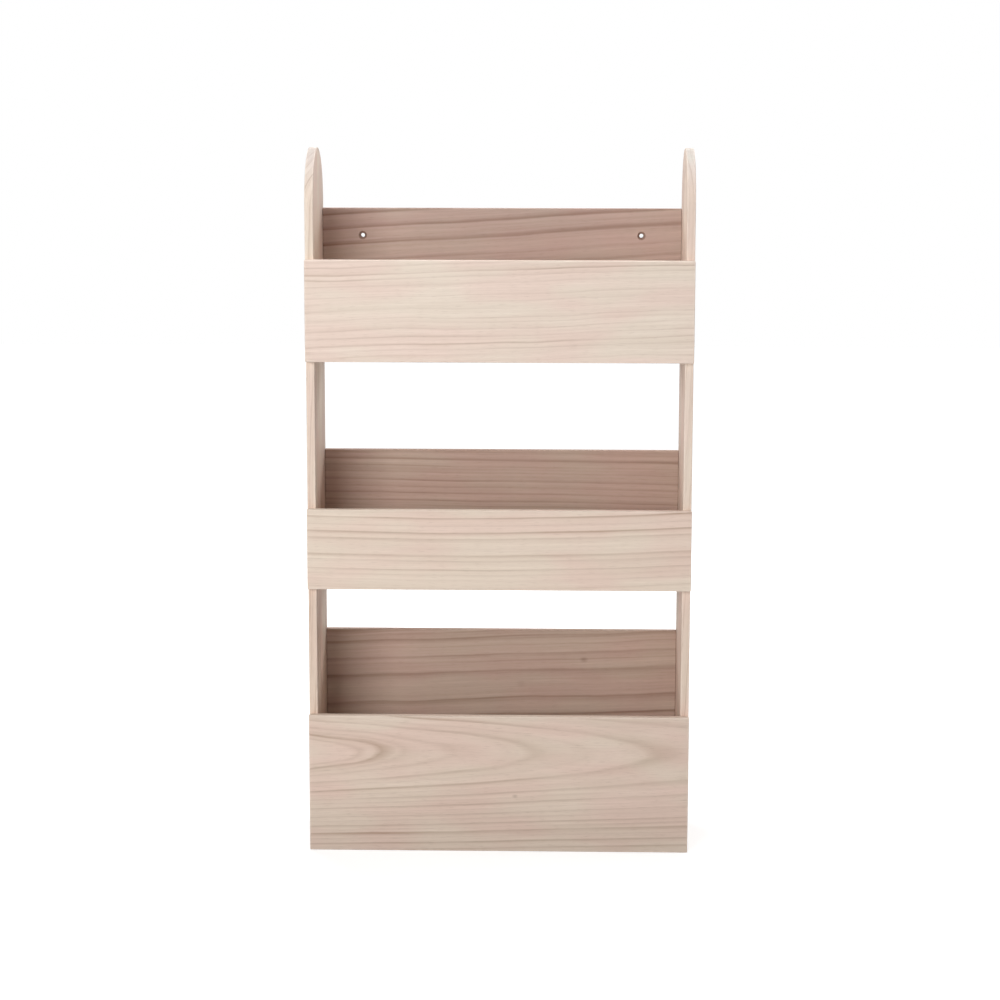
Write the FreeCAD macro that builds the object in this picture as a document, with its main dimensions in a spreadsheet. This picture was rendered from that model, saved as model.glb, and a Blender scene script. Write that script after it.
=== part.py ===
import FreeCAD, Part
import os
import Sketcher

# A narrow book display shelf of pale wooden boards.
# Two side panels with half-round tops carry three tiers. A tier is a shallow tray: its front board lies
# over the front edges of the side panels, its back board and its shelf board sit between them.
# Every joint is a row of blind wooden dowels, from the edge or end of one board into the face of the next.
# Millimetres, +Z up, front towards -Y, origin on the floor at the middle of the footprint.

TIERS = ("bottom", "middle", "top")

# Driving sizes: name, millimetres and meaning
DRIVING_SIZES = (
    ("overall_width", 450, "over both side panels, and the length of a front board"),
    ("panel_depth", 130, "side panel, front edge to back edge, and the diameter of its half-round top"),
    ("panel_thickness", 10, "side panel"),
    ("front_thickness", 10, "front boards"),
    ("back_thickness", 10, "back boards"),
    ("shelf_thickness", 10, "shelf boards"),
    ("bottom_front_height", 165, "bottom front board"),
    ("middle_front_height", 95, "middle front board"),
    ("top_front_height", 118, "top front board"),
    ("bottom_back_height", 242, "bottom back board"),
    ("middle_back_height", 148, "middle back board"),
    ("top_back_height", 172, "top back board"),
    ("lower_gap", 75, "open gap from the bottom back board up to the middle tier"),
    ("upper_gap", 120, "open gap from the middle back board up to the top tier"),
    ("shoulder_height", 8, "straight run of a side panel from the top back board to its half-round top"),
    ("bottom_shelf_raise", 20, "underside of the bottom shelf board above the floor"),
    ("edge_radius", 1, "rounding sanded on every edge"),
    ("wall_hole_diameter", 5, "screw holes in the top back board"),
    ("countersink_diameter", 9.6, "mouth of a screw hole"),
    ("wall_hole_inset", 48, "screw hole from the end of the top back board"),
    ("wall_hole_drop", 32.5, "screw hole below the top of the top back board"),
    ("dowel_diameter", 5, "dowels"),
    ("dowel_fit", 0.2, "dowel hole over the dowel's diameter, for glue"),
    ("dowel_end_gap", 0.5, "room for glue past each end of a dowel"),
    ("dowel_chamfer", 0.6, "dowel ends"),
    ("edge_hole_depth", 18, "dowel hole in the edge or end of a board"),
    ("face_hole_skin", 3, "wood left behind a dowel hole in the face of a board"),
    ("front_dowel_inset", 20, "dowels that hold a front board, from its top and bottom"),
    ("back_dowel_inset", 40, "dowels that hold a back board, from its top and bottom"),
    ("shelf_dowel_inset", 25, "dowels in the ends of a shelf board, from its front and back"),
    ("row_dowel_inset", 50, "outer dowels in the long edges of a shelf board, from its ends"),
)
SEAM_ANGLE = 0.01

doc = FreeCAD.newDocument("book_display_shelf")
sheet = doc.addObject("Spreadsheet::Sheet", "sizes")
for row, (alias, value, meaning) in enumerate(DRIVING_SIZES, start=1):
    sheet.set(f"A{row}", meaning)
    sheet.set(f"B{row}", str(value))
    sheet.setAlias(f"B{row}", alias)
doc.recompute()

# Sizes that follow from the driving sizes, written as expressions on the sheet
INNER_WIDTH = "(sizes.overall_width - 2 * sizes.panel_thickness)"
SHELF_DEPTH = "(sizes.panel_depth - sizes.back_thickness)"
PANEL_FRONT = "((sizes.front_thickness - sizes.panel_depth) / 2)"
BACK_FRONT = f"({PANEL_FRONT} + {SHELF_DEPTH})"
TIER_LEVEL = {"bottom": "0"}
TIER_LEVEL["middle"] = "(sizes.bottom_back_height + sizes.lower_gap)"
TIER_LEVEL["top"] = f"({TIER_LEVEL['middle']} + sizes.middle_back_height + sizes.upper_gap)"
SHELF_RAISE = {"bottom": "sizes.bottom_shelf_raise", "middle": "0", "top": "0"}
SHOULDER_LEVEL = f"({TIER_LEVEL['top']} + sizes.top_back_height + sizes.shoulder_height)"
HOLE_DIAMETER = "(sizes.dowel_diameter + sizes.dowel_fit)"
PANEL_FACE_HOLE = "(sizes.panel_thickness - sizes.face_hole_skin)"
FRONT_FACE_HOLE = "(sizes.front_thickness - sizes.face_hole_skin)"
BACK_FACE_HOLE = "(sizes.back_thickness - sizes.face_hole_skin)"
EDGE_HOLE = "sizes.edge_hole_depth"

# Dowel centres in the right half of a tier; the left half mirrors them
PANEL_MIDDLE = "((sizes.overall_width - sizes.panel_thickness) / 2)"
ROW_OUTER = f"({INNER_WIDTH} / 2 - sizes.row_dowel_inset)"
ROW_INNER = f"({ROW_OUTER} / 3)"
SHELF_MIDDLE = "(sizes.shelf_thickness / 2)"
BACK_MIDDLE = "(sizes.back_thickness / 2)"


def front_dowel_heights(tier):
    """Heights above a tier's lower edge of the dowels between its front board and a side panel."""
    return ("sizes.front_dowel_inset", f"(sizes.{tier}_front_height - sizes.front_dowel_inset)")


def back_dowel_heights(tier):
    """Heights above a tier's lower edge of the dowels between its back board and a side panel."""
    return ("sizes.back_dowel_inset", f"(sizes.{tier}_back_height - sizes.back_dowel_inset)")


def shelf_dowel_height(tier):
    """Height above a tier's lower edge of every dowel in its shelf board."""
    return f"({SHELF_RAISE[tier]} + {SHELF_MIDDLE})"


def shelf_dowel_depths():
    """Distances behind the front boards of the dowels between a shelf board and a side panel."""
    return ("sizes.shelf_dowel_inset", f"({SHELF_DEPTH} - sizes.shelf_dowel_inset)")


def shelf_row_centres(height):
    """Centres of the dowels along a long edge of a shelf board, at one height."""
    return [(ROW_INNER, height), (ROW_OUTER, height)]


# Features that the boards and dowels share
def new_body(label, x="0", y="0", z="0"):
    """An empty sub-part, placed in the shelf by three expressions."""
    body = doc.addObject("PartDesign::Body", label)
    body.Label = label
    for axis, expression in zip("xyz", (x, y, z)):
        body.setExpression(f"Placement.Base.{axis}", expression)
    return body


def origin_plane(body, role):
    """One of the body's own origin planes, such as XZ_Plane."""
    return next(feature for feature in body.Origin.OriginFeatures if feature.Role == role)


def new_sketch(body, name, role, offset="0"):
    """A sketch on one of the body's origin planes, moved along that plane's normal by an expression."""
    sketch = body.newObject("Sketcher::SketchObject", name)
    sketch.AttachmentSupport = [(origin_plane(body, role), "")]
    sketch.MapMode = "FlatFace"
    sketch.setExpression("AttachmentOffset.Base.z", offset)
    return sketch


def bind(sketch, kind, expression, *points):
    """Add a dimension to a sketch between the given points and tie it to an expression."""
    value = sheet.evalExpression(expression)
    value = getattr(value, "Value", value)
    index = sketch.addConstraint(Sketcher.Constraint(kind, *points, float(value)))
    sketch.setExpression(f"Constraints[{index}]", expression)


def rectangle(sketch, width, height):
    """A rectangle that stands on the sketch's horizontal axis, centred on its vertical axis."""
    corners = ((-1, 0), (1, 0), (1, 1), (-1, 1))
    vectors = [FreeCAD.Vector(x, y, 0) for x, y in corners]
    for side in range(4):
        sketch.addGeometry(Part.LineSegment(vectors[side], vectors[(side + 1) % 4]))
    for side in range(4):
        sketch.addConstraint(Sketcher.Constraint("Coincident", side, 2, (side + 1) % 4, 1))
        sketch.addConstraint(Sketcher.Constraint(("Horizontal", "Vertical")[side % 2], side))
    sketch.addConstraint(Sketcher.Constraint("Symmetric", 0, 1, 0, 2, -1, 1))
    bind(sketch, "DistanceX", width, 0, 1, 0, 2)
    bind(sketch, "DistanceY", height, 1, 1, 1, 2)


def arched_outline(sketch, depth, shoulder):
    """A side panel's outline: straight up from the floor to the shoulder, closed by a half circle."""
    foot_front, foot_back = FreeCAD.Vector(0, 0, 0), FreeCAD.Vector(2, 0, 0)
    shoulder_front, shoulder_back = FreeCAD.Vector(0, 4, 0), FreeCAD.Vector(2, 4, 0)
    crown = FreeCAD.Vector(1, 5, 0)
    sketch.addGeometry(Part.LineSegment(foot_front, foot_back))
    sketch.addGeometry(Part.LineSegment(foot_back, shoulder_back))
    sketch.addGeometry(Part.Arc(shoulder_back, crown, shoulder_front))
    sketch.addGeometry(Part.LineSegment(shoulder_front, foot_front))
    sketch.addConstraint(Sketcher.Constraint("Coincident", 0, 1, -1, 1))
    sketch.addConstraint(Sketcher.Constraint("Coincident", 0, 2, 1, 1))
    sketch.addConstraint(Sketcher.Constraint("Tangent", 1, 2, 2, 1))
    sketch.addConstraint(Sketcher.Constraint("Tangent", 2, 2, 3, 1))
    sketch.addConstraint(Sketcher.Constraint("Coincident", 3, 2, 0, 1))
    sketch.addConstraint(Sketcher.Constraint("Horizontal", 0))
    sketch.addConstraint(Sketcher.Constraint("Vertical", 1))
    sketch.addConstraint(Sketcher.Constraint("Vertical", 3))
    bind(sketch, "DistanceX", depth, 0, 1, 0, 2)
    bind(sketch, "DistanceY", shoulder, 1, 1, 1, 2)


def circles(sketch, centres, diameter):
    """Circles of one diameter at the given centres."""
    for across, up in centres:
        circle = sketch.addGeometry(Part.Circle(FreeCAD.Vector(1, 1, 0), FreeCAD.Vector(0, 0, 1), 1))
        bind(sketch, "DistanceX", across, -1, 1, circle, 3)
        bind(sketch, "DistanceY", up, -1, 1, circle, 3)
        bind(sketch, "Diameter", diameter, circle)


def pad(body, sketch, length, against_normal=False):
    """Thicken a sketch along its plane's normal, or against it."""
    feature = body.newObject("PartDesign::Pad", "pad")
    feature.Profile = sketch
    feature.Reversed = against_normal
    feature.setExpression("Length", length)
    doc.recompute()
    return feature


def sharp_edges(shape):
    """Names of the edges where two faces meet at an angle, without the seams where an arc meets a flat."""
    names = []
    for index, edge in enumerate(shape.Edges, start=1):
        middle = edge.valueAt((edge.FirstParameter + edge.LastParameter) / 2)
        faces = shape.ancestorsOfType(edge, Part.Face)
        normals = [face.normalAt(*face.Surface.parameter(middle)) for face in faces]
        if normals[0].getAngle(normals[1]) > SEAM_ANGLE:
            names.append(f"Edge{index}")
    return names


def ease_edges(body, base):
    """Round every sharp edge of a board, as sanding does."""
    fillet = body.newObject("PartDesign::Fillet", "eased_edges")
    fillet.Base = (base, sharp_edges(base.Shape))
    fillet.setExpression("Radius", "sizes.edge_radius")
    doc.recompute()


def dowel_holes(body, name, role, centres, depth, offset="0", along_normal=False):
    """Blind dowel holes from a plane into the board, against the plane's normal or along it."""
    sketch = new_sketch(body, f"{name}_sketch", role, offset)
    circles(sketch, centres, HOLE_DIAMETER)
    pocket = body.newObject("PartDesign::Pocket", name)
    pocket.Profile = sketch
    pocket.Reversed = along_normal
    pocket.setExpression("Length", depth)
    doc.recompute()
    return pocket


def mirror(body, feature):
    """Repeat a feature on the left half of a board or a group of dowels."""
    mirrored = body.newObject("PartDesign::Mirrored", f"{feature.Name}_left")
    mirrored.Originals = [feature]
    mirrored.MirrorPlane = (origin_plane(body, "YZ_Plane"), [""])
    body.Tip = mirrored
    doc.recompute()
    return mirrored


# Side panels: one plank each, upright grain, half-round top
def side_panel(label, side):
    """A side panel with the dowel holes of all three tiers; its inner face lies on its own YZ plane."""
    is_right = side > 0
    body = new_body(label, x=f"{side} * {INNER_WIDTH} / 2", y=PANEL_FRONT)
    outline = new_sketch(body, "outline", "YZ_Plane")
    arched_outline(outline, "sizes.panel_depth", SHOULDER_LEVEL)
    plank = pad(body, outline, "sizes.panel_thickness", against_normal=not is_right)
    ease_edges(body, plank)
    face_centres = []
    edge_centres = []
    for tier in TIERS:
        level = TIER_LEVEL[tier]
        shelf_height = f"({level} + {shelf_dowel_height(tier)})"
        face_centres += [(depth, shelf_height) for depth in shelf_dowel_depths()]
        back_depth = f"({SHELF_DEPTH} + {BACK_MIDDLE})"
        face_centres += [(back_depth, f"({level} + {height})") for height in back_dowel_heights(tier)]
        edge_centres += [("sizes.panel_thickness / 2", f"({level} + {height})")
                         for height in front_dowel_heights(tier)]
    dowel_holes(body, "face_holes", "YZ_Plane", face_centres, PANEL_FACE_HOLE, along_normal=is_right)
    if not is_right:
        edge_centres = [(f"(-{across})", up) for across, up in edge_centres]
    dowel_holes(body, "front_edge_holes", "XZ_Plane", edge_centres, EDGE_HOLE)
    return body


# Front boards: one plank each, grain along its length, over the front edges of the side panels
def front_board(tier):
    """A tier's front board; its back face lies on its own XZ plane and its lower edge on its XY plane."""
    body = new_body(f"{tier}_front_board", y=PANEL_FRONT, z=TIER_LEVEL[tier])
    outline = new_sketch(body, "outline", "XZ_Plane")
    rectangle(outline, "sizes.overall_width", f"sizes.{tier}_front_height")
    ease_edges(body, pad(body, outline, "sizes.front_thickness"))
    centres = [(PANEL_MIDDLE, height) for height in front_dowel_heights(tier)]
    centres += shelf_row_centres(shelf_dowel_height(tier))
    mirror(body, dowel_holes(body, "face_holes", "XZ_Plane", centres, FRONT_FACE_HOLE, along_normal=True))
    return body


# Back boards: one plank each, between the side panels, flush with their back edges
def back_board(tier):
    """A tier's back board; its front face lies on its own XZ plane and its lower edge on its XY plane."""
    body = new_body(f"{tier}_back_board", y=BACK_FRONT, z=TIER_LEVEL[tier])
    outline = new_sketch(body, "outline", "XZ_Plane")
    rectangle(outline, INNER_WIDTH, f"sizes.{tier}_back_height")
    ease_edges(body, pad(body, outline, "sizes.back_thickness", against_normal=True))
    end_centres = [(BACK_MIDDLE, height) for height in back_dowel_heights(tier)]
    end = f"{INNER_WIDTH} / 2"
    mirror(body, dowel_holes(body, "end_holes", "YZ_Plane", end_centres, EDGE_HOLE, offset=end))
    row_centres = shelf_row_centres(shelf_dowel_height(tier))
    mirror(body, dowel_holes(body, "face_holes", "XZ_Plane", row_centres, BACK_FACE_HOLE))
    return body


def wall_screw_holes(body, tier):
    """Two countersunk screw holes through a back board, from its front face."""
    sketch = new_sketch(body, "wall_holes_sketch", "XZ_Plane")
    across = f"({INNER_WIDTH} / 2 - sizes.wall_hole_inset)"
    up = f"(sizes.{tier}_back_height - sizes.wall_hole_drop)"
    circles(sketch, [(across, up)], "sizes.wall_hole_diameter")
    hole = body.newObject("PartDesign::Hole", "wall_holes")
    hole.Profile = sketch
    hole.ThreadType = "None"
    hole.DepthType = "ThroughAll"
    hole.setExpression("Diameter", "sizes.wall_hole_diameter")
    hole.HoleCutType = "Countersink"
    hole.HoleCutCustomValues = True
    hole.setExpression("HoleCutDiameter", "sizes.countersink_diameter")
    doc.recompute()
    mirror(body, hole)


# Shelf boards: one plank each, between the side panels, the front board and the back board
def shelf_board(tier):
    """A tier's shelf board; its front edge lies on its own XZ plane and its underside on its XY plane."""
    body = new_body(f"{tier}_shelf_board", y=PANEL_FRONT, z=f"{TIER_LEVEL[tier]} + {SHELF_RAISE[tier]}")
    outline = new_sketch(body, "outline", "XY_Plane")
    rectangle(outline, INNER_WIDTH, SHELF_DEPTH)
    ease_edges(body, pad(body, outline, "sizes.shelf_thickness"))
    end_centres = [(depth, SHELF_MIDDLE) for depth in shelf_dowel_depths()]
    end = f"{INNER_WIDTH} / 2"
    mirror(body, dowel_holes(body, "end_holes", "YZ_Plane", end_centres, EDGE_HOLE, offset=end))
    row_centres = shelf_row_centres(SHELF_MIDDLE)
    mirror(body, dowel_holes(body, "front_edge_holes", "XZ_Plane", row_centres, EDGE_HOLE))
    back_edge = f"-{SHELF_DEPTH}"
    mirror(body, dowel_holes(body, "back_edge_holes", "XZ_Plane", row_centres, EDGE_HOLE, back_edge, True))
    return body


# Dowels: turned from straight wood, chamfered at both ends, glued into the holes of two boards
def dowels(label, board, role, centres, start, face_hole):
    """A group of like dowels in the frame of a board, each from an edge hole into a face hole."""
    body = new_body(label)
    for axis in "xyz":
        body.setExpression(f"Placement.Base.{axis}", f"{board.Name}.Placement.Base.{axis}")
    body.AllowCompound = True
    sketch = new_sketch(body, "section", role, start)
    circles(sketch, centres, "sizes.dowel_diameter")
    length = f"{EDGE_HOLE} + {face_hole} - 2 * sizes.dowel_end_gap"
    both_sides = mirror(body, pad(body, sketch, length))
    ends = [f"Edge{index}" for index, edge in enumerate(both_sides.Shape.Edges, start=1) if edge.isClosed()]
    chamfer = body.newObject("PartDesign::Chamfer", "chamfered_ends")
    chamfer.Base = (both_sides, ends)
    chamfer.setExpression("Size", "sizes.dowel_chamfer")
    doc.recompute()
    return body


def tier_dowels(tier, front, back, shelf):
    """The five groups of dowels that hold one tier together and hang it between the side panels."""
    end_start = f"{INNER_WIDTH} / 2 - ({EDGE_HOLE} - sizes.dowel_end_gap)"
    front_start = f"-({EDGE_HOLE} - sizes.dowel_end_gap)"
    back_start = f"-({BACK_FACE_HOLE} - sizes.dowel_end_gap)"
    front_side_centres = [(PANEL_MIDDLE, height) for height in front_dowel_heights(tier)]
    back_side_centres = [(BACK_MIDDLE, height) for height in back_dowel_heights(tier)]
    shelf_side_centres = [(depth, SHELF_MIDDLE) for depth in shelf_dowel_depths()]
    row_centres = shelf_row_centres(shelf_dowel_height(tier))
    groups = (
        ("front_side", front, "XZ_Plane", front_side_centres, front_start, FRONT_FACE_HOLE),
        ("front_shelf", front, "XZ_Plane", row_centres, front_start, FRONT_FACE_HOLE),
        ("back_side", back, "YZ_Plane", back_side_centres, end_start, PANEL_FACE_HOLE),
        ("back_shelf", back, "XZ_Plane", row_centres, back_start, BACK_FACE_HOLE),
        ("shelf_side", shelf, "YZ_Plane", shelf_side_centres, end_start, PANEL_FACE_HOLE),
    )
    return [dowels(f"{tier}_{joint}_dowels", *group) for joint, *group in groups]


sub_parts = [side_panel("side_panel_left", -1), side_panel("side_panel_right", 1)]
for tier in TIERS:
    boards = [front_board(tier), back_board(tier), shelf_board(tier)]
    if tier == "top":
        wall_screw_holes(boards[1], tier)
    sub_parts += boards + tier_dowels(tier, *boards)
doc.recompute()

# Every feature has to be sound, and every hole has to take wood away, before anything is written
for feature in doc.Objects:
    if "Invalid" in feature.State or "Error" in feature.State:
        raise RuntimeError(f"{feature.Label} failed: {feature.State}")
    if feature.TypeId in ("PartDesign::Pocket", "PartDesign::Hole"):
        if feature.Shape.Volume >= feature.BaseFeature.Shape.Volume:
            raise RuntimeError(f"{feature.Label} cuts nothing")
for body in sub_parts:
    if body.Shape.isNull() or not body.Shape.isValid():
        raise RuntimeError(f"{body.Label} has no sound shape")

os.makedirs("parts", exist_ok=True)
for body in sub_parts:
    body.Shape.exportStep(f"parts/{body.Label}.step")
    print(f"{body.Label}: {len(body.Shape.Solids)} solids, {body.Shape.Volume:.0f} mm3")
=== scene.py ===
"""Looks of a narrow wooden book display shelf.

Bare sanded boards, dowelled together without a visible fastener.
"""
import math

import bpy
from mathutils import Euler, Matrix, Vector


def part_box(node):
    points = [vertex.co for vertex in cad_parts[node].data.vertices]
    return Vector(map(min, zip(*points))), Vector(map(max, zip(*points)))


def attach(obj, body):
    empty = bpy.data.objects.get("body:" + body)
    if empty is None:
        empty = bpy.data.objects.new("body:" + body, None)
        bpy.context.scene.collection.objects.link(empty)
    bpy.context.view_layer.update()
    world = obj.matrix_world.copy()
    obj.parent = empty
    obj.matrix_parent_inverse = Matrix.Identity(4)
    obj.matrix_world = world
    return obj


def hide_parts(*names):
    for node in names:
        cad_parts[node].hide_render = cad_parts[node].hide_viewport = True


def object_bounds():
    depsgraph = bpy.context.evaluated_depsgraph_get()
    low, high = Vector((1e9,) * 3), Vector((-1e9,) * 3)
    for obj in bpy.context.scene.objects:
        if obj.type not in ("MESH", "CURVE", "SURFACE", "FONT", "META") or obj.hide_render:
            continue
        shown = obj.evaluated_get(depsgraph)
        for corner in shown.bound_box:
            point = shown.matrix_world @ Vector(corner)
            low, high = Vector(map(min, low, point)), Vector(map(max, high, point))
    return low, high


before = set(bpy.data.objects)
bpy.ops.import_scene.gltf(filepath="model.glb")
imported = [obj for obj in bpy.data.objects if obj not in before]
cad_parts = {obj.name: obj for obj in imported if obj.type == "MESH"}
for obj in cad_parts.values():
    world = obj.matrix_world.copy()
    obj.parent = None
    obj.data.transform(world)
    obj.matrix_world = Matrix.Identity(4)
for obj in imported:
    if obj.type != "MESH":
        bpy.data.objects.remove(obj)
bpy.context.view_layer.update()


# Side panels: two upright boards with half-round tops, sawn from a pale, plain-ringed wood and sanded bare.
# The grain runs up and down. Every other board is dowelled between the two, or over their front edges.
# Painted shade darkens them towards the bottom and the back edge. Their half-round is greyer and darker.

QUARTER_TURN = math.pi / 2
EDGE_ROUNDING = 0.001
EDGE_STEPS = 3
EDGE_PROFILE = 0.5
ARCH_STEPS = 128
SHARP_EDGE = math.radians(40)


def place_in_mesh(name):
    """Name the primitive that was just added, and put its place and size into its mesh."""
    piece = bpy.context.object
    piece.name = name
    piece.data.name = name
    bpy.ops.object.transform_apply(location=True, rotation=True, scale=True)
    return piece


def ease_edges():
    """Sand every sharp edge of the board in edit mode to a small round."""
    bpy.ops.mesh.select_mode(type="EDGE")
    bpy.ops.mesh.select_all(action="DESELECT")
    bpy.ops.mesh.edges_select_sharp(sharpness=SHARP_EDGE)
    bpy.ops.mesh.bevel(offset=EDGE_ROUNDING, segments=EDGE_STEPS, profile=EDGE_PROFILE, affect="EDGES")


def flatten_shading(piece):
    """Shade the rounds smooth and keep the sawn faces flat."""
    bpy.ops.object.select_all(action="DESELECT")
    piece.select_set(True)
    bpy.context.view_layer.objects.active = piece
    bpy.ops.object.shade_smooth_by_angle(angle=SHARP_EDGE)
    bpy.ops.object.modifier_add(type="WEIGHTED_NORMAL")
    piece.modifiers[-1].keep_sharp = True
    bpy.ops.object.modifier_apply(modifier=piece.modifiers[-1].name)


def shoulder_height(node):
    """The height at which a panel's straight edges end and its half-round begins."""
    low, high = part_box(node)
    return high.z - (high.y - low.y) / 2


def arched_plank(name, node):
    """A disc on edge, cut in half, whose flat side is drawn down to the floor."""
    low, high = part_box(node)
    middle = (low + high) / 2
    shoulder = shoulder_height(node)
    bpy.ops.object.select_all(action="DESELECT")
    bpy.ops.mesh.primitive_cylinder_add(
        vertices=ARCH_STEPS, radius=(high.y - low.y) / 2, depth=high.x - low.x,
        location=(middle.x, middle.y, shoulder), rotation=(0, QUARTER_TURN, 0))
    piece = place_in_mesh(name)
    bpy.ops.object.mode_set(mode="EDIT")
    bpy.ops.mesh.select_all(action="SELECT")
    bpy.ops.mesh.bisect(plane_co=(0, 0, shoulder), plane_no=(0, 0, 1), clear_inner=True, use_fill=True)
    bpy.ops.mesh.extrude_region_move(TRANSFORM_OT_translate={"value": (0, 0, low.z - shoulder)})
    ease_edges()
    bpy.ops.object.mode_set(mode="OBJECT")
    flatten_shading(piece)
    return piece


def add(tree, kind, values=None, **settings):
    """Add a shader node. An input given as a socket is linked, and anything else is its value."""
    made = tree.nodes.new(kind)
    for name, value in settings.items():
        setattr(made, name, value)
    for key, value in (values or {}).items():
        if isinstance(value, bpy.types.NodeSocket):
            tree.links.new(value, made.inputs[key])
        else:
            made.inputs[key].default_value = value
    return made


def maths(tree, operation, *values):
    """Work out one number from others."""
    return add(tree, "ShaderNodeMath", dict(enumerate(values)), operation=operation).outputs[0]


def vectors(tree, operation, *values):
    """Work out one vector from others."""
    return add(tree, "ShaderNodeVectorMath", dict(enumerate(values)), operation=operation).outputs[0]


def measure(tree, operation, *values):
    """Work out one number from vectors."""
    return add(tree, "ShaderNodeVectorMath", dict(enumerate(values)), operation=operation).outputs["Value"]


def parts(tree, vector):
    """Take a vector apart into its X, Y and Z."""
    return add(tree, "ShaderNodeSeparateXYZ", {0: vector}).outputs


def opaque(colour):
    """A colour as a node takes it: a socket as it is, and three parts with full cover."""
    return colour if isinstance(colour, bpy.types.NodeSocket) else (*colour, 1.0)


def blend(tree, factor, first, second, mode="MIX"):
    """Lay the second colour over the first one."""
    values = {0: factor, 6: opaque(first), 7: opaque(second)}
    return add(tree, "ShaderNodeMix", values, data_type="RGBA", blend_type=mode).outputs[2]


def stain(tree, factor, colour, shade):
    """Darken a colour by a shade, as far as the factor says."""
    return blend(tree, factor, colour, shade, "MULTIPLY")


def spread(tree, value, from_low, from_high, to_low=0.0, to_high=1.0, curve="LINEAR"):
    """Move a number from one range to another, and stop it at the ends."""
    values = {0: value, 1: from_low, 2: from_high, 3: to_low, 4: to_high}
    return add(tree, "ShaderNodeMapRange", values, interpolation_type=curve).outputs[0]


def start_group(name, inputs, outputs):
    """Start a shader node group with the named sockets, given as name and kind."""
    group = bpy.data.node_groups.new(name, "ShaderNodeTree")
    for label, kind in inputs:
        group.interface.new_socket(name=label, in_out="INPUT", socket_type="NodeSocket" + kind)
    for label, kind in outputs:
        group.interface.new_socket(name=label, in_out="OUTPUT", socket_type="NodeSocket" + kind)
    return group, add(group, "NodeGroupInput").outputs


def end_group(group, values):
    """Lead the results of a node group to its outputs."""
    add(group, "NodeGroupOutput", values)


def use_group(tree, group, values):
    """Place a node group in a material, with its inputs linked or set."""
    return add(tree, "ShaderNodeGroup", values, node_tree=group).outputs


# How a grown trunk varies: the pace of each noise along the trunk, its scale and its detail
SWAY = {"along": 0.5, "scale": 9.0, "detail": 2.0}
RIPPLE = {"along": 0.12, "scale": 110.0, "detail": 2.0}
RIPPLE_SHARE = 0.2
STRAND_PACE = 0.012
STRAND_DETAIL = 5.0
STRAND_ROUGHNESS = 0.60
STRAND_RANGE = (0.32, 0.68)
FADE = {"along": 0.20, "scale": 26.0, "detail": 2.0}
FADE_RANGE = (0.36, 0.60)
NOISE_MIDDLE = 0.5


def grain_noise(tree, place, seed, along, scale, detail):
    """Noise in a trunk, drawn out along it: along is how quickly it changes there against across."""
    squeezed = vectors(tree, "MULTIPLY", place, (along, 1.0, 1.0))
    values = {"Vector": squeezed, "W": seed, "Scale": scale, "Detail": detail}
    return add(tree, "ShaderNodeTexNoise", values, noise_dimensions="4D").outputs


# The trunk lies along X with its pith at the origin. Radius is the distance from the pith, with the sway and
# bow of a grown trunk. Strands are the fine tones between the rings, and Fade says where lines die away.
growth_rings, given = start_group(
    "growth_rings",
    [("Vector", "Vector"), ("Wander", "Float"), ("Bow", "Float"), ("Strands", "Float"), ("Seed", "Float")],
    [("Radius", "Float"), ("Strand", "Float"), ("Fade", "Float")])
sway = grain_noise(growth_rings, given["Vector"], given["Seed"], **SWAY)["Color"]
sway = vectors(growth_rings, "SUBTRACT", sway, (NOISE_MIDDLE, NOISE_MIDDLE, NOISE_MIDDLE))
sway = add(growth_rings, "ShaderNodeVectorMath", {0: sway, "Scale": given["Wander"]},
           operation="SCALE").outputs[0]
across = vectors(growth_rings, "ADD", given["Vector"], sway)
across = vectors(growth_rings, "MULTIPLY", across, (0.0, 1.0, 1.0))
ripple = grain_noise(growth_rings, given["Vector"], given["Seed"], **RIPPLE)[0]
ripple = maths(growth_rings, "SUBTRACT", ripple, NOISE_MIDDLE)
ripple = maths(growth_rings, "MULTIPLY", ripple, given["Wander"])
radius = maths(growth_rings, "MULTIPLY_ADD", ripple, RIPPLE_SHARE, measure(growth_rings, "LENGTH", across))
length = parts(growth_rings, given["Vector"])["X"]
bow = maths(growth_rings, "MULTIPLY", maths(growth_rings, "MULTIPLY", length, length), given["Bow"])
radius = maths(growth_rings, "SUBTRACT", radius, bow)
strand = add(growth_rings, "ShaderNodeCombineXYZ", {
    "X": maths(growth_rings, "MULTIPLY", length, STRAND_PACE), "Y": radius, "Z": given["Seed"]}).outputs[0]
strand = add(growth_rings, "ShaderNodeTexNoise", {
    "Vector": strand, "Scale": given["Strands"], "Detail": STRAND_DETAIL,
    "Roughness": STRAND_ROUGHNESS}).outputs[0]
fade = grain_noise(growth_rings, given["Vector"], given["Seed"], **FADE)[0]
end_group(growth_rings, {
    "Radius": radius,
    "Strand": spread(growth_rings, strand, *STRAND_RANGE),
    "Fade": spread(growth_rings, fade, *FADE_RANGE)})

# The profile of a ring line: steps outwards in ring widths, with the share of the depth at each.
RING_PROFILE = ((-0.5, 0.0), (0.0, 1.0), (0.6, 0.6), (1.3, 0.15), (2.4, 0.0))
WIDTHS_BEFORE_FIRST = 2
WIDTHS_AFTER_LAST = 4


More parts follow.
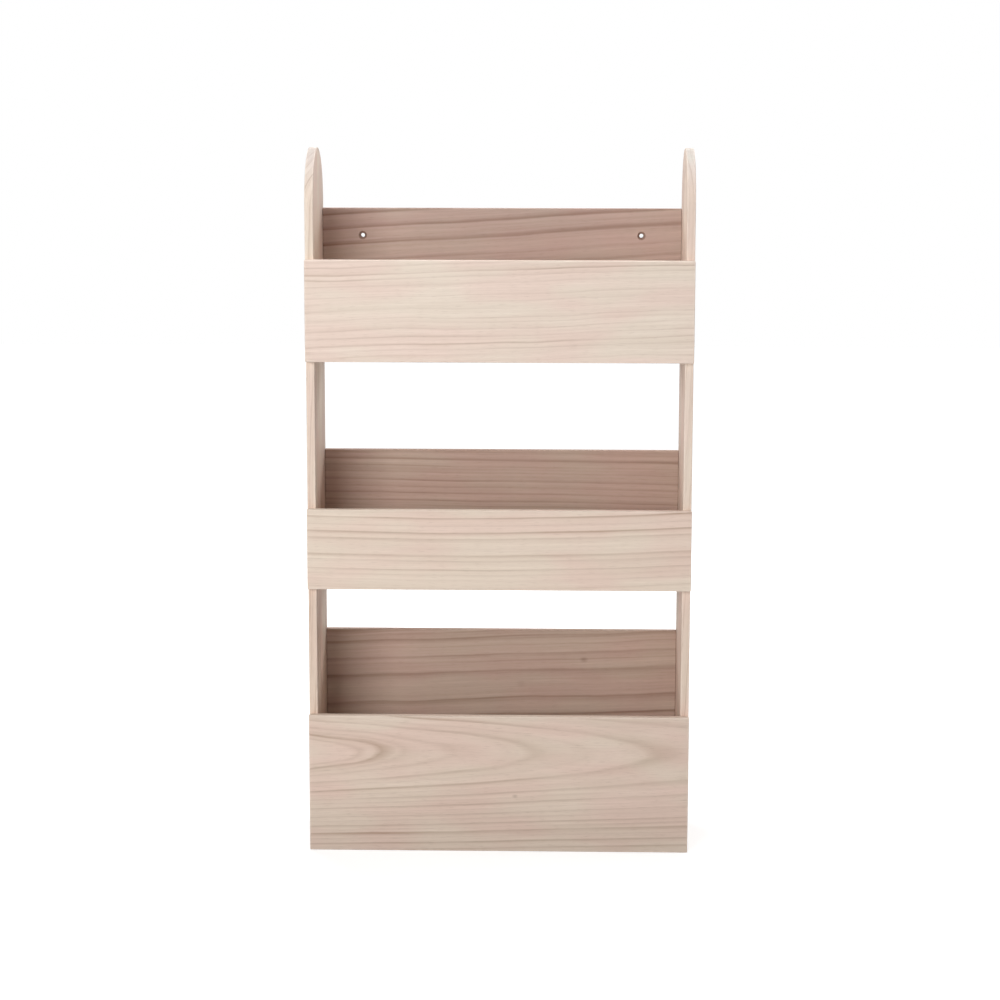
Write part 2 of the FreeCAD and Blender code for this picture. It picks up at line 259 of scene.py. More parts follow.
def ring_curve(tree, radius, rings):
    """Darkness by distance from the pith. A ring, given as distance, depth and width, fades outwards."""
    first, _, first_width = rings[0]
    last, _, last_width = rings[-1]
    low = first - WIDTHS_BEFORE_FIRST * first_width
    reach = last + WIDTHS_AFTER_LAST * last_width - low
    curve = add(tree, "ShaderNodeFloatCurve", {"Value": spread(tree, radius, low, low + reach)})
    shape = curve.mapping.curves[0]
    shape.points[0].location = (0.0, 0.0)
    shape.points[1].location = (1.0, 0.0)
    starts = [distance + RING_PROFILE[0][0] * width for distance, _, width in rings] + [low + reach]
    for (distance, depth, width), following in zip(rings, starts[1:]):
        for step, share in RING_PROFILE:
            place = distance + step * width
            if place < following:
                shape.points.new((place - low) / reach, depth * share)
    for point in shape.points:
        point.handle_type = "VECTOR"
    curve.mapping.update()
    return curve.outputs[0]


# Fibres are faint streaks along the trunk, long ones and short flecks. Pores are short dark scratches, which
# show as dots on end grain.
STREAK = {"along": 0.016, "scale": 560.0, "detail": 3.0}
STREAK_SHARE = 0.55
FLECK = {"along": 0.060, "scale": 420.0, "detail": 2.0}
FLECK_SHARE = 0.45
STREAK_RANGE = (0.36, 0.64)
PORE = {"along": 0.05, "scale": 1500.0, "detail": 1.0}
PORE_RANGE = (0.58, 0.72)
wood_fibre, given = start_group(
    "wood_fibre", [("Vector", "Vector"), ("Seed", "Float")], [("Streak", "Float"), ("Pore", "Float")])
streak = grain_noise(wood_fibre, given["Vector"], given["Seed"], **STREAK)[0]
fleck = grain_noise(wood_fibre, given["Vector"], given["Seed"], **FLECK)[0]
fleck = maths(wood_fibre, "MULTIPLY", fleck, FLECK_SHARE)
streak = maths(wood_fibre, "MULTIPLY_ADD", streak, STREAK_SHARE, fleck)
pore = grain_noise(wood_fibre, given["Vector"], given["Seed"], **PORE)[0]
end_group(wood_fibre, {
    "Streak": spread(wood_fibre, streak, *STREAK_RANGE),
    "Pore": spread(wood_fibre, pore, *PORE_RANGE)})

# Sanding rubs the edges paler. A spot is near an edge when it lies close to two faces at once. Shoulder is
# the height above which a panel is half-round. For a straight board it is far above.
RUB_NOISE = {"Scale": 90.0, "Detail": 2.0}
RUB_RANGE = (0.3, 0.7)
RUB_REACH = (0.5, 1.5)
sanded_edges, given = start_group(
    "sanded_edges",
    [("Vector", "Vector"), ("Low", "Vector"), ("High", "Vector"), ("Shoulder", "Float"), ("Reach", "Float")],
    [("Edge", "Float")])
inside = parts(sanded_edges, vectors(
    sanded_edges, "MINIMUM",
    vectors(sanded_edges, "SUBTRACT", given["Vector"], given["Low"]),
    vectors(sanded_edges, "SUBTRACT", given["High"], given["Vector"])))
half = parts(sanded_edges, vectors(sanded_edges, "SUBTRACT", given["High"], given["Low"]))["Y"]
half = maths(sanded_edges, "DIVIDE", half, 2.0)
sideways = maths(sanded_edges, "SUBTRACT", half, inside["Y"])
upwards = maths(sanded_edges, "SUBTRACT", parts(sanded_edges, given["Vector"])["Z"], given["Shoulder"])
upwards = maths(sanded_edges, "MAXIMUM", upwards, 0.0)
from_centre = add(sanded_edges, "ShaderNodeCombineXYZ", {"X": sideways, "Y": upwards}).outputs[0]
from_rim = maths(sanded_edges, "SUBTRACT", half, measure(sanded_edges, "LENGTH", from_centre))
nearer = maths(sanded_edges, "MINIMUM", inside["X"], from_rim)
farther = maths(sanded_edges, "MAXIMUM", inside["X"], from_rim)
second = maths(sanded_edges, "MAXIMUM", nearer, maths(sanded_edges, "MINIMUM", farther, inside["Z"]))
rub_noise = add(sanded_edges, "ShaderNodeTexNoise", {"Vector": given["Vector"], **RUB_NOISE}).outputs[0]
reach = spread(sanded_edges, rub_noise, *RUB_RANGE, *RUB_REACH)
reach = maths(sanded_edges, "MULTIPLY", given["Reach"], reach)
end_group(sanded_edges, {"Edge": spread(sanded_edges, second, 0.0, reach, 1.0, 0.0, "SMOOTHSTEP")})

# A round mark is a pin knot, drawn out along the grain by a squash below one, or painted shade in a hole.
round_mark, given = start_group(
    "round_mark",
    [("Vector", "Vector"), ("Place", "Vector"), ("Squash", "Vector"), ("Size", "Float"), ("Core", "Float")],
    [("Mark", "Float")])
away = vectors(round_mark, "SUBTRACT", given["Vector"], given["Place"])
away = vectors(round_mark, "MULTIPLY", away, given["Squash"])
away = maths(round_mark, "DIVIDE", measure(round_mark, "LENGTH", away), given["Size"])
end_group(round_mark, {"Mark": spread(round_mark, away, given["Core"], 1.0, 1.0, 0.0, "SMOOTHSTEP")})

# Colours of the bare wood, and the shades that darken it
PALE_WOOD = (0.900, 0.780, 0.668)
RUBBED_EDGE = (0.920, 0.800, 0.705)
TAN_SHADE = (0.860, 0.835, 0.810)
RING_SHADE = (0.600, 0.505, 0.435)
PORE_SHADE = (0.560, 0.500, 0.450)
MARK_SHADE = (0.420, 0.340, 0.290)
END_SHADE = (0.820, 0.785, 0.755)
# The panels' half-round end grain: greyer and darker than their faces
GREY_HALF_ROUND = (0.805, 0.885, 0.950)
PINK_BLUSH = (1.0, 0.935, 0.953)
NO_SHADE = (1.0, 1.0, 1.0)

# How deep each tone goes, and where it lies
TONE_DEPTH = 0.82
STREAK_DEPTH = 0.50
PORE_DEPTH = 0.25
EDGE_DEPTH = 0.45
EDGE_REACH = 0.0022
LINE_LEAST = 0.65
LINE_SWING = 0.7
BLUSH = {"along": 0.30, "scale": 30.0, "detail": 1.0}
BLUSH_RANGE = (0.40, 0.60)
END_GRAIN_RANGE = (0.20, 0.85)
# Where the painted shade at the bottom of the panels fades out
PAINTED_FOOT_SHADE_FROM = 0.15
PAINTED_FOOT_SHADE_TO = 0.55
# Where the painted shade towards the panels' back edge starts
PAINTED_REAR_SHADE_FROM = 0.0
FAR_ABOVE = 10.0

# Roughness and relief of a sanded face, with what streaks, pores, edges and ring lines add or take away
SANDED_ROUGHNESS = 0.58
STREAK_ROUGHNESS = 0.12
PORE_ROUGHNESS = 0.15
EDGE_ROUGHNESS = -0.10
STREAK_HEIGHT = 0.35
PORE_HEIGHT = -0.8
LINE_HEIGHT = -0.2
RELIEF_STRENGTH = 0.5
RELIEF_DISTANCE = 0.00006
SPECULAR_LEVEL = 0.35


def tinted(colour, tint, power=1.0):
    """A colour times a tint, which counts more or less by its power."""
    return tuple(part * shade ** power for part, shade in zip(colour, tint))


def plank_wood(name, box, pith, turn, rings, wander, seed, bow=0.0, strands=180.0, tint=NO_SHADE,
               painted_outward_shade=NO_SHADE, painted_foot_shade=None, painted_rear_shade=None, end_shade=END_SHADE, contrast=1.0, hold=0.3,
               taper=None, rub=EDGE_DEPTH, marks=(), shoulder=FAR_ABOVE):
    """Bare wood of one board, cut out of a trunk whose pith runs through a point in a given direction.

    The drift, foot and rear are painted shade, which darkens the wood from the first ring to the last,
    towards the bottom of the trunk and towards the board's back edge, where less light falls. Tint is the
    board's own tone, and for some boards it is partly painted light, raised and dimmed with the light
    that falls on them. Hold is the share of a ring line that never dies away, and taper the share of its
    depth that is left at the board's right-hand end. Rub is how much paler sanding leaves the edges.
    """
    wood = bpy.data.materials.new(name)
    wood.use_nodes = True
    tree = wood.node_tree
    shader = tree.nodes["Principled BSDF"]
    pale = tinted(PALE_WOOD, tint)
    tan = tinted(pale, TAN_SHADE, contrast)
    surface = add(tree, "ShaderNodeTexCoord").outputs
    spot = surface["Object"]
    trunk = add(tree, "ShaderNodeMapping", {"Vector": spot, "Location": pith, "Rotation": turn},
                vector_type="TEXTURE").outputs[0]
    grown = use_group(tree, growth_rings, {
        "Vector": trunk, "Wander": wander, "Bow": bow, "Strands": strands, "Seed": seed})
    fibre = use_group(tree, wood_fibre, {"Vector": trunk, "Seed": seed})
    edge = use_group(tree, sanded_edges, {
        "Vector": spot, "Low": box[0], "High": box[1], "Shoulder": shoulder, "Reach": EDGE_REACH})["Edge"]

    # Ring lines, which die away in places and thin out between the strands
    line = ring_curve(tree, grown["Radius"], rings)
    held = maths(tree, "MULTIPLY_ADD", grown["Fade"], 1.0 - hold, hold)
    line = maths(tree, "MULTIPLY", line, held)
    thinned = maths(tree, "MULTIPLY_ADD", grown["Strand"], LINE_SWING, LINE_LEAST)
    line = maths(tree, "MULTIPLY", line, thinned)
    if taper:
        left_over = spread(tree, parts(tree, spot)["X"], box[0].x, box[1].x, 1.0, taper)
        line = maths(tree, "MULTIPLY", line, left_over)

    # Colour, from the pale wood to the marks and edges on it
    blush = spread(tree, grain_noise(tree, trunk, seed, **BLUSH)[0], *BLUSH_RANGE)
    outwards = spread(tree, grown["Radius"], rings[0][0], rings[-1][0])
    colour = blend(tree, maths(tree, "MULTIPLY", grown["Strand"], TONE_DEPTH), pale, tan)
    colour = blend(tree, maths(tree, "MULTIPLY", fibre["Streak"], STREAK_DEPTH), colour, tan)
    colour = stain(tree, line, colour, tinted(NO_SHADE, RING_SHADE, contrast))
    colour = stain(tree, maths(tree, "MULTIPLY", fibre["Pore"], PORE_DEPTH), colour, PORE_SHADE)
    colour = stain(tree, blush, colour, PINK_BLUSH)
    # Painted shade: the wood darkens from the first ring to the last, which on the bottom front board is
    # downwards.
    colour = stain(tree, outwards, colour, painted_outward_shade)
    # Painted shade: the wood darkens towards the bottom of the trunk, as the light falls off towards the
    # floor.
    if painted_foot_shade:
        painted_foot_shade_mask = spread(tree, parts(tree, trunk)["X"], PAINTED_FOOT_SHADE_FROM, PAINTED_FOOT_SHADE_TO, 1.0, 0.0)
        colour = stain(tree, painted_foot_shade_mask, colour, painted_foot_shade)
    along = Euler(turn).to_matrix() @ Vector((1.0, 0.0, 0.0))
    facing = maths(tree, "ABSOLUTE", measure(tree, "DOT_PRODUCT", surface["Normal"], along))
    colour = stain(tree, spread(tree, facing, *END_GRAIN_RANGE), colour, end_shade)
    for mark, depth in marks:
        spotted = use_group(tree, round_mark, {"Vector": spot, **mark})["Mark"]
        colour = stain(tree, maths(tree, "MULTIPLY", spotted, depth), colour, MARK_SHADE)
    colour = blend(tree, maths(tree, "MULTIPLY", edge, rub), colour, tinted(RUBBED_EDGE, tint))
    # Painted shade: the wood darkens towards the board's back edge, where less light reaches the panels'
    # inner faces.
    if painted_rear_shade:
        painted_rear_shade_mask = spread(tree, parts(tree, spot)["Y"], PAINTED_REAR_SHADE_FROM, box[1].y)
        colour = stain(tree, painted_rear_shade_mask, colour, painted_rear_shade)
    tree.links.new(colour, shader.inputs["Base Color"])

    # Roughness and relief
    rough = maths(tree, "MULTIPLY_ADD", fibre["Streak"], STREAK_ROUGHNESS, SANDED_ROUGHNESS)
    rough = maths(tree, "MULTIPLY_ADD", fibre["Pore"], PORE_ROUGHNESS, rough)
    rough = maths(tree, "MULTIPLY_ADD", edge, EDGE_ROUGHNESS, rough)
    tree.links.new(rough, shader.inputs["Roughness"])
    height = maths(tree, "MULTIPLY", fibre["Streak"], STREAK_HEIGHT)
    height = maths(tree, "MULTIPLY_ADD", fibre["Pore"], PORE_HEIGHT, height)
    height = maths(tree, "MULTIPLY_ADD", line, LINE_HEIGHT, height)
    relief = add(tree, "ShaderNodeBump", {
        "Height": height, "Strength": RELIEF_STRENGTH, "Distance": RELIEF_DISTANCE}).outputs[0]
    tree.links.new(relief, shader.inputs["Normal"])
    shader.inputs["Specular IOR Level"].default_value = SPECULAR_LEVEL
    return wood


# Fatter and leaner years: how far a ring strays from an even spacing, and how its depth changes
YEAR_STRAY = 0.3
YEAR_PACE = 2.1
YEAR_DEPTH = 0.50
DEPTH_SWING = 0.25
DEPTH_PACE = 3.7
LINE_WIDTH = 0.2


def even_rings(first, width, count):
    """Rings from the first distance outwards, of about one width, with fatter and leaner years."""
    rings = []
    for year in range(count):
        distance = first + width * (year + YEAR_STRAY * math.sin(YEAR_PACE * year))
        depth = YEAR_DEPTH + DEPTH_SWING * math.sin(DEPTH_PACE * year)
        rings.append((distance, depth, LINE_WIDTH * width))
    return rings


def fit_piece(piece, node, wood):
    """Give a board its wood, and let it stand for its CAD node on the one rigid body."""
    piece.data.materials.clear()
    piece.data.materials.append(wood)
    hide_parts(node)
    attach(piece, "root")


UPRIGHT = -QUARTER_TURN
PANEL_WANDER = 0.010
PANEL_CONTRAST = 0.8
# The foot and rear shades are painted shade: each panel darkens towards the bottom and the back edge.
side_trunks = {
    "left": {"pith": (-0.315, 0.015, 0.0), "turn": (0.0, UPRIGHT + 0.03, 0.0),
             "rings": even_rings(first=0.080, width=0.0042, count=34), "tint": (1.038, 1.030, 1.018),
             "painted_foot_shade": (0.93, 0.875, 0.85), "painted_rear_shade": (0.72, 0.73, 0.74), "seed": 1.0},
    "right": {"pith": (0.300, -0.010, 0.0), "turn": (0.0, UPRIGHT + 0.04, 0.0),
              "rings": even_rings(first=0.070, width=0.0040, count=34), "tint": (1.056, 1.046, 1.042),
              "painted_foot_shade": (0.93, 0.895, 0.875), "painted_rear_shade": (0.80, 0.81, 0.82), "seed": 2.0},
}
for side, trunk in side_trunks.items():
    node = f"side_panel_{side}"
    panel = arched_plank(f"{side}_side_plank", node)
    fit_piece(panel, node, plank_wood(
        f"{side}_side_wood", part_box(node), wander=PANEL_WANDER, contrast=PANEL_CONTRAST,
        end_shade=GREY_HALF_ROUND, shoulder=shoulder_height(node), **trunk))


# Shelf boards: the floors of the three trays, thin boards of the same wood that lie between the panels.
# Dowels hold them at both ends and along both long edges, and their grain runs across the shelf.

def straight_plank(name, node):
    """Saw a straight board to the size and place of its CAD node, and ease its edges."""
    low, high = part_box(node)
    bpy.ops.object.select_all(action="DESELECT")
    bpy.ops.mesh.primitive_cube_add(size=1, location=(low + high) / 2, scale=high - low)
    piece = place_in_mesh(name)
    bpy.ops.object.mode_set(mode="EDIT")
    ease_edges()
    bpy.ops.object.mode_set(mode="OBJECT")
    flatten_shading(piece)
    return piece


TIERS = ("bottom", "middle", "top")
SHELF_WANDER = 0.010
shelf_rings = even_rings(first=0.080, width=0.006, count=16)
shelf_trunks = {
    "bottom": {"pith": (-0.225, -0.02, -0.060), "turn": (0.0, 0.02, 0.02), "seed": 3.0},
    "middle": {"pith": (-0.225, 0.03, 0.230), "turn": (0.0, 0.03, -0.02), "seed": 4.0},
    "top": {"pith": (-0.225, 0.01, 0.500), "turn": (0.0, 0.025, 0.01), "seed": 5.0},
}
for tier in TIERS:
    node = f"{tier}_shelf_board"
    shelf = straight_plank(f"{tier}_shelf_plank", node)
    fit_piece(shelf, node, plank_wood(
        f"{tier}_shelf_wood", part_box(node), rings=shelf_rings, wander=SHELF_WANDER, **shelf_trunks[tier]))


# Back boards: the back walls of the trays, of wide-ringed wood, dowelled between the panels. Their darker,
# redder tint is partly the wood's own colour and partly painted shade of the trays.
# The top one has two countersunk holes, drilled from the front, for screws into the wall.

SCREW_HOLE_RADIUS = 0.0025
COUNTERSINK_RADIUS = 0.0048
SCREW_HOLE_X = 0.167
SCREW_HOLE_DROP = 0.0325
HOLE_STEPS = 48
DRILL_LENGTH = 0.04
DRILL_TURN = (-QUARTER_TURN, 0, 0)


def bore(piece, bit):
    """Cut the shape of a drill bit out of a board, and put the bit away."""
    bpy.context.view_layer.objects.active = piece
    cut = piece.modifiers.new("bore", "BOOLEAN")
    cut.object = bit
    cut.solver = "EXACT"
    bpy.ops.object.modifier_apply(modifier=cut.name)
    bpy.data.objects.remove(bit)


def drill_wall_holes(piece, node):
    """Drill the two wall-screw holes right through, and countersink their front rims at a right angle."""
    low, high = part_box(node)
    sink = COUNTERSINK_RADIUS - SCREW_HOLE_RADIUS
    z = high.z - SCREW_HOLE_DROP
    for x in (-SCREW_HOLE_X, SCREW_HOLE_X):
        bpy.ops.object.select_all(action="DESELECT")
        bpy.ops.mesh.primitive_cylinder_add(
            vertices=HOLE_STEPS, radius=SCREW_HOLE_RADIUS, depth=DRILL_LENGTH,
            location=(x, (low.y + high.y) / 2, z), rotation=DRILL_TURN)
        bore(piece, place_in_mesh("drill"))
        bpy.ops.object.select_all(action="DESELECT")
        bpy.ops.mesh.primitive_cone_add(
            vertices=HOLE_STEPS, radius1=COUNTERSINK_RADIUS + sink, radius2=SCREW_HOLE_RADIUS,
            depth=2 * sink, location=(x, low.y, z), rotation=DRILL_TURN)
        bore(piece, place_in_mesh("countersink"))
    flatten_shading(piece)


def faced_wood(name, node, pith, lines, **wood):
    """Wood of a board whose rings meet its front face in these lines of height, depth and width."""
    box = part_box(node)
    face = box[0].y
    rings = sorted((math.hypot(face - pith[1], height - pith[2]), depth, width)
                   for height, depth, width in lines)
    return plank_wood(name, box, pith=pith, rings=rings, **wood)


KNOT_SQUASH = (0.70, 0.0, 1.0)
KNOT_CORE = 0.0
HOLE_SHADE_SQUASH = (1.0, 0.0, 1.0)
HOLE_SHADE_CORE = 0.94
HOLE_SHADE_RADIUS = 0.0051
HOLE_SHADE_DEPTH = 0.75


def knot(x, face, z, size, depth):
    """A soft pin knot on a board's front face, a little longer along the grain, and how dark it is."""
    return {"Place": (x, face, z), "Size": size, "Squash": KNOT_SQUASH, "Core": KNOT_CORE}, depth


def painted_hole_shade(x, face, z):
    """Painted shade in a wall-screw hole and its countersink, and how dark it is."""
    return {"Place": (x, face, z), "Size": HOLE_SHADE_RADIUS, "Squash": HOLE_SHADE_SQUASH, "Core": HOLE_SHADE_CORE}, HOLE_SHADE_DEPTH


BACK_CONTRAST = 1.6
UNRUBBED = 0.0
BACK_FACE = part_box("top_back_board")[0].y
HOLE_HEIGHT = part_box("top_back_board")[1].z - SCREW_HOLE_DROP

# Each of the lines is a dark ring where it meets the board's front face: its height, depth and width.
# The darker, redder tints are partly the wood's own colour and partly painted shade of the trays.
back_trunks = {
    "bottom": {"pith": (0.0, 0.160, 0.650), "turn": (0.0, -0.036, 0.0), "bow": -0.020, "wander": 0.014,
               "hold": 0.6,
               "lines": ((0.2480, 0.50, 0.0060), (0.2410, 0.30, 0.0040), (0.2335, 0.60, 0.0034),
                         (0.2230, 0.25, 0.0018), (0.2110, 0.48, 0.0032), (0.2030, 0.30, 0.0018),
                         (0.1890, 0.60, 0.0042), (0.1550, 0.60, 0.0044), (0.1340, 0.55, 0.0030),
                         (0.1170, 0.45, 0.0028), (0.1020, 0.55, 0.0030), (0.0890, 0.35, 0.0020),
                         (0.0740, 0.55, 0.0028), (0.0600, 0.40, 0.0022), (0.0440, 0.55, 0.0030),
                         (0.0300, 0.35, 0.0020), (0.0140, 0.50, 0.0026), (0.0000, 0.45, 0.0026)),
               "marks": (knot(x=0.102, face=BACK_FACE, z=0.2050, size=0.0048, depth=0.45),
                         knot(x=0.025, face=BACK_FACE, z=0.1740, size=0.0060, depth=0.16)),
               "tint": (0.664, 0.590, 0.566), "seed": 6.0},
    "middle": {"pith": (0.0, 0.160, 0.000), "turn": (0.0, 0.0125, 0.0), "wander": 0.006, "hold": 0.5,
               "lines": ((0.4600, 0.35, 0.0060), (0.4520, 0.55, 0.0024), (0.4440, 0.25, 0.0016),
                         (0.4360, 0.30, 0.0016), (0.4260, 0.55, 0.0016), (0.4180, 0.20, 0.0014),
                         (0.4105, 0.50, 0.0016), (0.4010, 0.40, 0.0016), (0.3950, 0.35, 0.0016),
                         (0.3860, 0.50, 0.0018), (0.3770, 0.30, 0.0014), (0.3700, 0.45, 0.0016),
                         (0.3600, 0.25, 0.0014), (0.3520, 0.50, 0.0018), (0.3430, 0.35, 0.0016),
                         (0.3330, 0.50, 0.0020), (0.3240, 0.35, 0.0016)),
               "tint": (0.668, 0.590, 0.570), "seed": 7.0},
    "top": {"pith": (0.0, 0.160, 0.300), "turn": (0.0, -0.062, 0.0), "wander": 0.008, "hold": 0.8,
            "taper": 0.55,
            "lines": ((0.7600, 0.60, 0.0030), (0.7425, 1.00, 0.0028), (0.7335, 0.12, 0.0020),
                      (0.7235, 1.00, 0.0036), (0.7030, 0.25, 0.0030), (0.6890, 0.45, 0.0026),
                      (0.6770, 0.65, 0.0030), (0.6640, 0.35, 0.0022), (0.6520, 0.60, 0.0028),
                      (0.6390, 0.40, 0.0022), (0.6240, 0.65, 0.0030), (0.6110, 0.40, 0.0022),
                      (0.5970, 0.55, 0.0028), (0.5830, 0.45, 0.0026)),
            # Painted shade in the two wall-screw holes and their countersinks
            "marks": (painted_hole_shade(-SCREW_HOLE_X, BACK_FACE, HOLE_HEIGHT),
                      painted_hole_shade(SCREW_HOLE_X, BACK_FACE, HOLE_HEIGHT)),
            "tint": (0.662, 0.596, 0.603), "seed": 8.0},
}
for tier in TIERS:
    node = f"{tier}_back_board"
    back = straight_plank(f"{tier}_back_plank", node)
    if tier == "top":
        drill_wall_holes(back, node)
    fit_piece(back, node, faced_wood(
        f"{tier}_back_wood", node, contrast=BACK_CONTRAST, rub=UNRUBBED, **back_trunks[tier]))


# Front boards: lips across the whole width, dowelled over the panels' front edges and the shelf boards.
# The bottom one is the tallest and shows flat-sawn arches, and the two others are straight-grained.

FRONT_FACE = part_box("bottom_front_board")[0].y
# Painted shade: the tints step down from the top board to the bottom one, as the light falls off downwards.
front_trunks = {
    "bottom": {"pith": (-0.225, 0.058, 0.121), "turn": (0.0, 0.0, 0.022), "wander": 0.0020,
               "strands": 340.0, "hold": 0.5, "taper": 0.55,
               "lines": ((0.1030, 0.40, 0.0002), (0.0993, 1.00, 0.00035), (0.0955, 0.30, 0.0003),
                         (0.0911, 0.45, 0.0004), (0.0824, 0.55, 0.0005), (0.0775, 0.22, 0.0004),
                         (0.0715, 0.78, 0.0006), (0.0660, 0.22, 0.0004), (0.0606, 0.60, 0.0007),
                         (0.0555, 0.25, 0.0005), (0.0502, 0.64, 0.0008), (0.0450, 0.30, 0.0005),
                         (0.0396, 0.40, 0.0007), (0.0345, 0.32, 0.0006), (0.0287, 0.70, 0.0009),
                         (0.0242, 0.35, 0.0007), (0.0194, 1.00, 0.0016), (0.0135, 0.30, 0.0007),
                         (0.0072, 0.70, 0.0012), (-0.0009, 0.70, 0.0012)),
               "marks": (knot(x=0.0195, face=FRONT_FACE, z=0.068, size=0.0034, depth=0.42),),
               # Painted shade: the bottom board darkens towards its bottom edge, as the light falls off
               # towards the floor.
               "painted_outward_shade": (0.86, 0.86, 0.86), "tint": (0.950, 0.920, 0.905), "seed": 9.0},
    "middle": {"pith": (-0.010, -0.020, 0.820), "turn": (0.0, -0.010, 0.0), "bow": -0.10, "wander": 0.006,
               "strands": 200.0, "hold": 0.5,
               "lines": ((0.4030, 0.95, 0.0017), (0.3940, 0.25, 0.0012), (0.3855, 0.70, 0.0020),
                         (0.3780, 0.40, 0.0020), (0.3580, 0.50, 0.0028), (0.3515, 0.30, 0.0025),
                         (0.3410, 0.45, 0.0014), (0.3350, 0.20, 0.0010), (0.3290, 0.30, 0.0014),
                         (0.3190, 0.30, 0.0014)),
               "tint": (1.000, 0.985, 0.970), "seed": 10.0},
    "top": {"pith": (0.0, -0.010, 0.200), "turn": (0.0, -0.036, 0.0), "wander": 0.016,
            "strands": 230.0, "hold": 0.5,
            "lines": ((0.6990, 0.28, 0.0012), (0.6900, 0.75, 0.0016), (0.6840, 0.36, 0.0012),
                      (0.6760, 0.18, 0.0010), (0.6630, 0.26, 0.0010), (0.6560, 0.18, 0.0010),
                      (0.6480, 0.22, 0.0010), (0.6380, 0.28, 0.0011), (0.6330, 0.22, 0.0010),
                      (0.6260, 0.32, 0.0013), (0.6170, 0.36, 0.0013), (0.6085, 0.60, 0.0016),
                      (0.6020, 0.22, 0.0010), (0.5960, 0.30, 0.0012), (0.5880, 0.25, 0.0012)),
            "tint": (1.052, 1.058, 1.063), "seed": 11.0},
}
for tier in TIERS:
    node = f"{tier}_front_board"
    front = straight_plank(f"{tier}_front_plank", node)
    fit_piece(front, node, faced_wood(f"{tier}_front_wood", node, **front_trunks[tier]))


# Dowels: short round pegs of a plain hardwood, chamfered at both ends and glued blind into the boards.
# They lie hidden in the joints as the frame gives them, and only get their turned wood here.

PEG_WANDER = 0.010
peg_wood = plank_wood(
    "peg_wood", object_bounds(), pith=(0.0, 0.40, 0.0), turn=(0.0, 0.0, 0.0),
    rings=even_rings(first=0.30, width=0.005, count=40), wander=PEG_WANDER, seed=12.0)
for name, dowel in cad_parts.items():
    if name.endswith("_dowels"):
        for holder in dowel.material_slots:
            holder.material = peg_wood


# Studio: a plain pale floor that runs out of sight, and a white surround behind it.
# The camera sees both as white, and the floor keeps the soft shadow of the shelf.

FLOOR_SIZE = 12.0
FLOOR_PALE = (0.60, 0.60, 0.60)
FLOOR_ROUGHNESS = 0.9
FLOOR_GLOW_NEAR = 0.60
FLOOR_GLOW_FAR = 1.0
GLOW_NEAR_RADIUS = 0.35
GLOW_FAR_RADIUS = 0.95
SURROUND_LIGHT = 0.015
SURROUND_SEEN = 1.0
WHITE = (1.0, 1.0, 1.0)


def seen_directly(tree):
    """One for rays from the camera, and for those that a gloss or a clear piece sends on, else nothing."""
    path = add(tree, "ShaderNodeLightPath").outputs
    direct = maths(tree, "MAXIMUM", path["Is Camera Ray"], path["Is Glossy Ray"])
    return maths(tree, "MAXIMUM", direct, path["Is Transmission Ray"])


bpy.ops.object.select_all(action="DESELECT")
bpy.ops.mesh.primitive_plane_add(size=FLOOR_SIZE)
floor = place_in_mesh("studio_floor")
paper = bpy.data.materials.new("studio_paper")
paper.use_nodes = True
tree = paper.node_tree
paper_shader = tree.nodes["Principled BSDF"]
paper_shader.inputs["Base Color"].default_value = opaque(FLOOR_PALE)
paper_shader.inputs["Roughness"].default_value = FLOOR_ROUGHNESS
paper_shader.inputs["Emission Color"].default_value = opaque(WHITE)
from_shelf = measure(tree, "LENGTH", add(tree, "ShaderNodeTexCoord").outputs["Object"])
glow = spread(tree, from_shelf, GLOW_NEAR_RADIUS, GLOW_FAR_RADIUS, FLOOR_GLOW_NEAR, FLOOR_GLOW_FAR)
glow = maths(tree, "MULTIPLY", seen_directly(tree), glow)
tree.links.new(glow, paper_shader.inputs["Emission Strength"])
floor.data.materials.append(paper)

surround = bpy.data.worlds.new("studio_surround")
surround.use_nodes = True
bpy.context.scene.world = surround
tree = surround.node_tree
background = tree.nodes["Background"]
background.inputs["Color"].default_value = opaque(WHITE)
strength = spread(tree, seen_directly(tree), 0.0, 1.0, SURROUND_LIGHT, SURROUND_SEEN)
tree.links.new(strength, background.inputs["Strength"])


# Lamps: a large soft box in front on the left, and a weak one on the right to fill in. One hangs overhead,
# two stand high behind, and a weak one is at the right side. They leave the trays in soft shade.

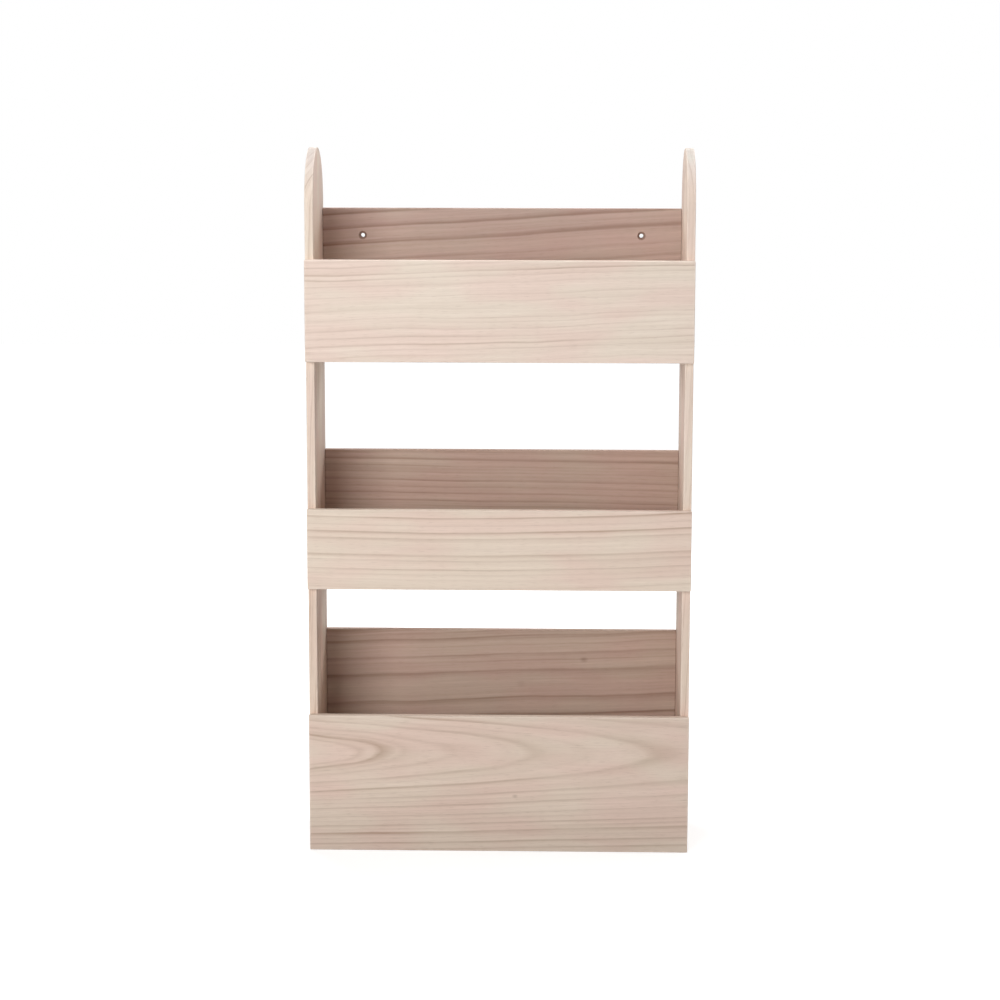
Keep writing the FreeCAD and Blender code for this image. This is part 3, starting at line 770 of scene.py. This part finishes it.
SHELF_MIDDLE = Vector((0.0, 0.0, 0.42))


def soft_box(name, place, size, power):
    """A square lamp that faces the middle of the shelf and isn't seen itself."""
    lamp = bpy.data.lights.new(name, "AREA")
    lamp.size = size
    lamp.energy = power
    holder = bpy.data.objects.new(name, lamp)
    holder.location = place
    holder.rotation_euler = (SHELF_MIDDLE - Vector(place)).to_track_quat("-Z", "Y").to_euler()
    holder.visible_camera = False
    bpy.context.scene.collection.objects.link(holder)


soft_box("front_box", place=(-1.173, -2.634, 1.247), size=1.50, power=54.5)
soft_box("fill_box", place=(1.010, -2.776, 0.941), size=1.50, power=8.7)
soft_box("overhead_box", place=(0.0, 0.088, 2.210), size=1.08, power=19.0)
soft_box("rear_right_box", place=(1.060, 1.835, 1.547), size=0.96, power=17.0)
soft_box("rear_left_box", place=(-1.060, 1.835, 1.547), size=0.96, power=16.0)
soft_box("right_box", place=(1.940, 0.342, 0.767), size=0.80, power=8.0)


# Camera: a long lens in front of the shelf, a little above it and right of its middle, tilted down.
# The focal length is in pixels of a picture a thousand pixels wide, and the angles are in radians.

PICTURE_WIDTH = 1000
FOCAL_LENGTH_PIXELS = 2481.35
SENSOR_WIDTH = 36.0
CAMERA_PLACE = (0.06398, -2.92474, 0.88773)
CAMERA_TILT = 0.1608
CAMERA_TURN = 0.0220
CAMERA_ROLL = 0.0019

lens = bpy.data.cameras.new("camera")
lens.sensor_fit = "HORIZONTAL"
lens.sensor_width = SENSOR_WIDTH
lens.lens = FOCAL_LENGTH_PIXELS / PICTURE_WIDTH * SENSOR_WIDTH
camera = bpy.data.objects.new("camera", lens)
camera.matrix_world = (
    Matrix.Translation(CAMERA_PLACE)
    @ Matrix.Rotation(CAMERA_TURN, 4, "Z")
    @ Matrix.Rotation(QUARTER_TURN - CAMERA_TILT, 4, "X")
    @ Matrix.Rotation(CAMERA_ROLL, 4, "Z"))
bpy.context.scene.collection.objects.link(camera)
bpy.context.scene.camera = camera
bpy.context.scene.view_settings.view_transform = "Standard"
